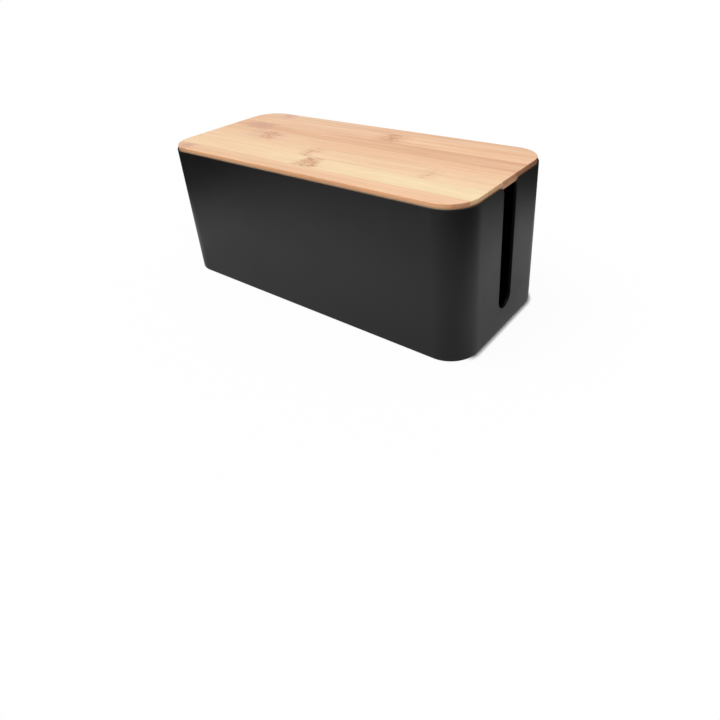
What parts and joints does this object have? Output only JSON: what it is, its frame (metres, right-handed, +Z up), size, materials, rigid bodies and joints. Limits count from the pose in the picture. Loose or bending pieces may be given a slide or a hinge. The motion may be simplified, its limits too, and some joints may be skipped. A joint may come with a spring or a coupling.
{
  "type": "cable management box",
  "caption": "Cable management box: a black plastic tub with rounded corners, an open cable slot in each end and a lift-off laminated bamboo lid that lies inside the rim.",
  "frame": {"origin": "under the middle of the box, on the surface that its feet stand on", "axes": "+X along the length of the box, from one slotted end to the other; +Z up, the way the lid lifts off; -Y is the long front side"},
  "size_m": [0.32, 0.136, 0.1294],
  "materials": {
    "tub_plastic": "satin black injection-moulded plastic, faintly textured",
    "foot_rubber": "matt black rubber",
    "bamboo_face_peach": "lacquered bamboo strip, peach tone, fine dark fibres and node marks",
    "bamboo_face_pink": "lacquered bamboo strip, pinker and darker tone, fine dark fibres and node marks",
    "bamboo_face_honey": "lacquered bamboo strip, pale honey tone, fine dark fibres and node marks",
    "bamboo_cross": "bamboo cross ply, sanded underneath, its long grain showing along the short ends"
  },
  "bodies": {
    "tub": {"tub": "tub_plastic", "foot_front_left": "foot_rubber", "foot_front_right": "foot_rubber", "foot_back_left": "foot_rubber", "foot_back_right": "foot_rubber"},
    "lid": {"lid_face_strip_1": "bamboo_face_peach", "lid_face_strip_2": "bamboo_face_honey", "lid_face_strip_3": "bamboo_face_honey", "lid_face_strip_4": "bamboo_face_peach", "lid_face_strip_5": "bamboo_face_pink", "lid_face_strip_6": "bamboo_face_peach", "lid_face_strip_7": "bamboo_face_peach", "lid_cross_strip_1": "bamboo_cross", "lid_cross_strip_2": "bamboo_cross", "lid_cross_strip_3": "bamboo_cross", "lid_cross_strip_4": "bamboo_cross", "lid_cross_strip_5": "bamboo_cross", "lid_cross_strip_6": "bamboo_cross", "lid_cross_strip_7": "bamboo_cross", "lid_cross_strip_8": "bamboo_cross", "lid_cross_strip_9": "bamboo_cross", "lid_cross_strip_10": "bamboo_cross", "lid_cross_strip_11": "bamboo_cross", "lid_cross_strip_12": "bamboo_cross", "lid_cross_strip_13": "bamboo_cross", "lid_cross_strip_14": "bamboo_cross", "lid_cross_strip_15": "bamboo_cross"}
  },
  "joints": [
    {"name": "lid_lift", "type": "slide", "parent": "tub", "child": "lid", "axis": [0, 0, 1], "range_m": [0, 0.12]}
  ]
}
